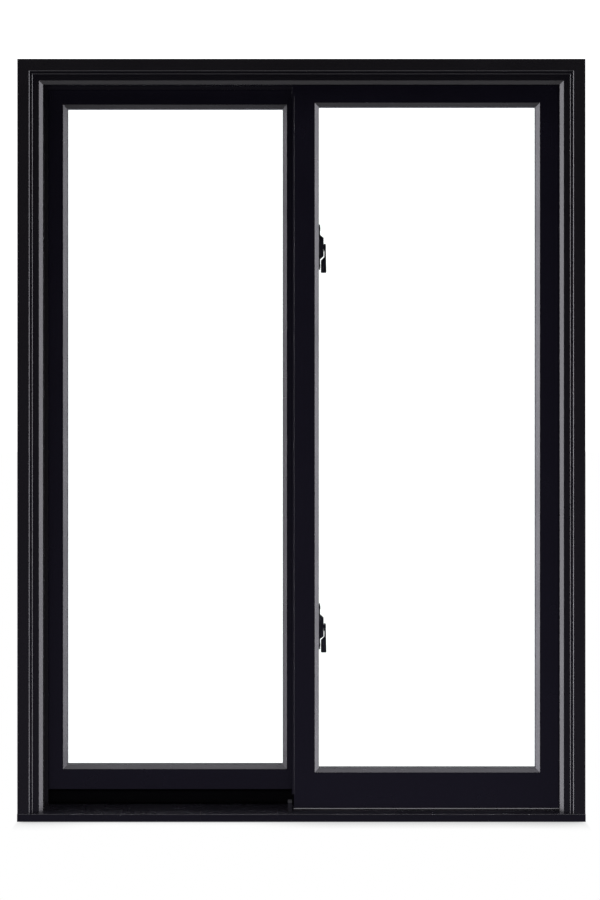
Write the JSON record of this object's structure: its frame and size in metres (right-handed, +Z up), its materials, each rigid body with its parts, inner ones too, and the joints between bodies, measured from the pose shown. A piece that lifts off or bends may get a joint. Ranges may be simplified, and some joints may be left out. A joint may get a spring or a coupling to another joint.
{
  "type": "horizontal sliding window",
  "caption": "Black horizontal sliding window: mitred stepped frame on a sloping sill, a fixed sash in front, a sliding sash on rollers behind it, and cam locks on the meeting stiles.",
  "frame": {"origin": "middle of the sill's underside, half way along its width and its depth", "axes": "+X to the right seen from outside, +Y from the outside into the room, +Z up"},
  "size_m": [0.903, 0.116, 1.212],
  "materials": {
    "frame_finish": "satin",
    "sash_finish": "satin",
    "bead_finish": "satin",
    "glass": "clear",
    "spacer": "matte",
    "hardware": "satin",
    "track_metal": "mill",
    "roller_nylon": "matte",
    "soft_block": "matte"
  },
  "bodies": {
    "frame": {"head_jamb": "frame_finish", "left_jamb": "frame_finish", "right_jamb": "frame_finish", "sill": "frame_finish", "fixed_sill_strip": "frame_finish", "head_guide": "frame_finish", "fixed_meeting_stile": "sash_finish", "fixed_side_stile": "sash_finish", "fixed_bottom_rail": "sash_finish", "fixed_top_rail": "sash_finish", "meeting_interlock": "sash_finish", "fixed_left_bead": "bead_finish", "fixed_right_bead": "bead_finish", "fixed_bottom_bead": "bead_finish", "fixed_top_bead": "bead_finish", "fixed_outer_pane": "glass", "fixed_inner_pane": "glass", "fixed_spacer_bars": "spacer", "upper_keeper": "hardware", "lower_keeper": "hardware", "roller_track": "track_metal", "sill_dust_block": "soft_block", "sash_stop": "soft_block"},
    "sash": {"sash_pull_stile": "sash_finish", "sash_meeting_stile": "sash_finish", "sash_bottom_rail": "sash_finish", "sash_top_rail": "sash_finish", "sash_left_bead": "bead_finish", "sash_right_bead": "bead_finish", "sash_bottom_bead": "bead_finish", "sash_top_bead": "bead_finish", "sash_outer_pane": "glass", "sash_inner_pane": "glass", "sash_spacer_bars": "spacer", "left_roller": "roller_nylon", "right_roller": "roller_nylon", "upper_lock_case": "hardware", "lower_lock_case": "hardware"},
    "upper_lever": {"upper_lock_lever": "hardware", "upper_lock_cam": "hardware"},
    "lower_lever": {"lower_lock_lever": "hardware", "lower_lock_cam": "hardware"}
  },
  "joints": [
    {"name": "sash_slide", "type": "slide", "parent": "frame", "child": "sash", "axis": [1, 0, 0], "range_m": [0, 0.36]},
    {"name": "upper_lock_turn", "type": "hinge", "parent": "sash", "child": "upper_lever", "pos_m": [0.028, 0.019, 0.9149], "axis": [1, 0, 0], "range_deg": [0, 180]},
    {"name": "lower_lock_turn", "type": "hinge", "parent": "sash", "child": "lower_lever", "pos_m": [0.028, 0.019, 0.3041], "axis": [1, 0, 0], "range_deg": [0, 180]}
  ]
}
